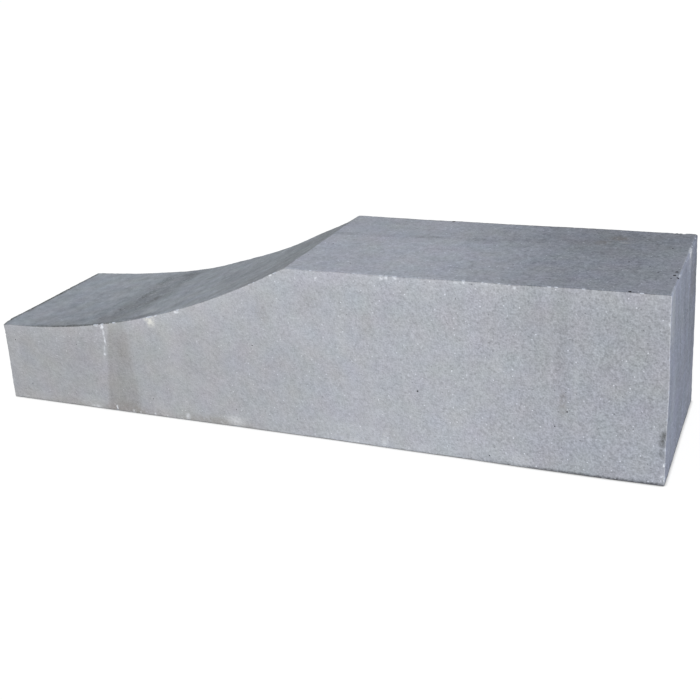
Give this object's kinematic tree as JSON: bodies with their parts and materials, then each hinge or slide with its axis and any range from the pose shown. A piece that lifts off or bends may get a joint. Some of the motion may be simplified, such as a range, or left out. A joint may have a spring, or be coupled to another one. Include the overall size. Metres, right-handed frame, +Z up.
{
  "type": "concrete palisade block",
  "caption": "Rectangular cast concrete block, full height over one half, its top falling in one concave arc to a thin end of half the height.",
  "frame": {"origin": "centre of the base, on the floor", "axes": "+X along the block towards the full-height end, +Y across it, +Z up"},
  "size_m": [1, 0.25, 0.25],
  "materials": {
    "concrete": "matte"
  },
  "bodies": {
    "root": {"palisade_block": "concrete"}
  },
  "joints": []
}
